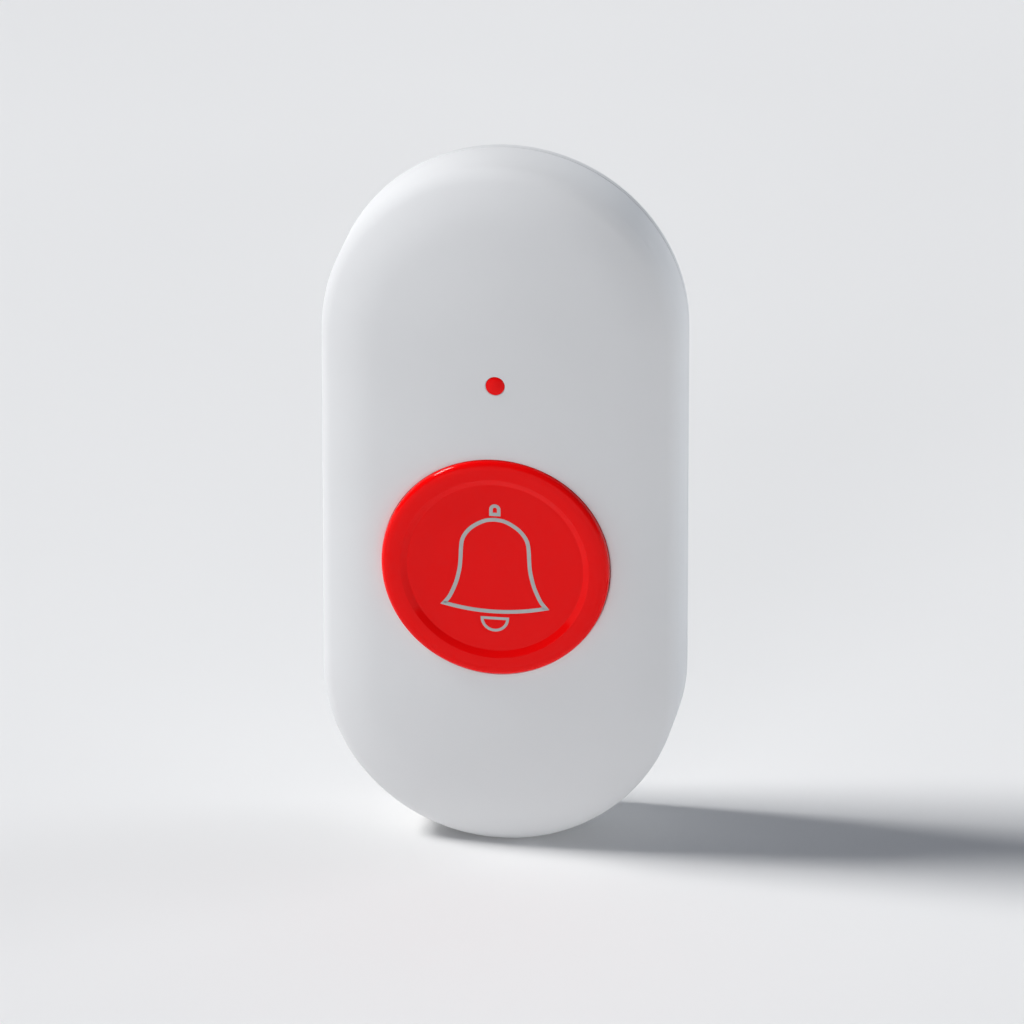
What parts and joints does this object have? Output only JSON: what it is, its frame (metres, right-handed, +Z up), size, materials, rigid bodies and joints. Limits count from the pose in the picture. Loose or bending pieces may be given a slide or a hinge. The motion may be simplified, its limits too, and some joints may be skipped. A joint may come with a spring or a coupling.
{
  "type": "wireless doorbell push button",
  "caption": "Pill-shaped wall push button for a wireless doorbell: crowned white case, round red sprung button, red indicator lens, coin cell behind a bayonet door.",
  "frame": {"origin": "middle of the rear cover's flat face, which lies on the wall", "axes": "+X to the right as seen from the front, +Y into the wall, +Z up along the case"},
  "size_m": [0.042, 0.0176, 0.084],
  "materials": {
    "case_white": "fine satin moulded plastic",
    "case_rear": "fine satin moulded plastic",
    "seal_grey": "silicone",
    "screw_steel": "zinc plated steel",
    "button_red": "polished moulded plastic",
    "spring_steel": "spring steel wire",
    "lens_red": "clear red moulded plastic",
    "board_green": "solder mask on glass fibre board",
    "switch_black": "moulded plastic",
    "plated_steel": "tin plated sheet",
    "stem_grey": "moulded plastic",
    "lamp_clear": "clear moulded lamp",
    "chip_black": "moulded chip body",
    "ceramic_tan": "ceramic chips",
    "copper_wire": "copper wire",
    "cell_steel": "nickel plated steel"
  },
  "bodies": {
    "housing": {"front_cover": "case_white", "rear_cover": "case_rear", "cover_seal": "seal_grey", "cover_screws": "screw_steel", "board_screws": "screw_steel", "button_spring": "spring_steel", "indicator_lens": "lens_red", "circuit_board": "board_green", "switch_housing": "switch_black", "switch_frame": "plated_steel", "indicator_lamp": "lamp_clear", "control_chip": "chip_black", "chip_leads": "plated_steel", "resonator_can": "plated_steel", "chip_parts": "ceramic_tan", "antenna_coil": "copper_wire", "coin_cell": "cell_steel", "positive_contact": "plated_steel", "negative_contact": "plated_steel"},
    "button": {"button_cap": "button_red", "button_seal": "seal_grey"},
    "stem": {"switch_stem": "stem_grey"},
    "door": {"battery_door": "case_rear", "door_seal": "seal_grey"}
  },
  "joints": [
    {"name": "button_press", "type": "slide", "parent": "housing", "child": "button", "axis": [0, 1, 0], "range_m": [0, 0.0008], "stiffness_N_per_m": 1800, "springref_m": -0.0006, "deforming": ["button_spring"]},
    {"name": "switch_press", "type": "slide", "parent": "housing", "child": "stem", "axis": [0, 1, 0], "range_m": [0, 0.0008]},
    {"name": "door_turn", "type": "hinge", "parent": "housing", "child": "door", "pos_m": [0, 0, 0], "axis": [0, -1, 0], "range_deg": [0, 60]}
  ],
  "couplings": [
    {"joint": "switch_press", "follows": "button_press", "ratio": 1}
  ]
}
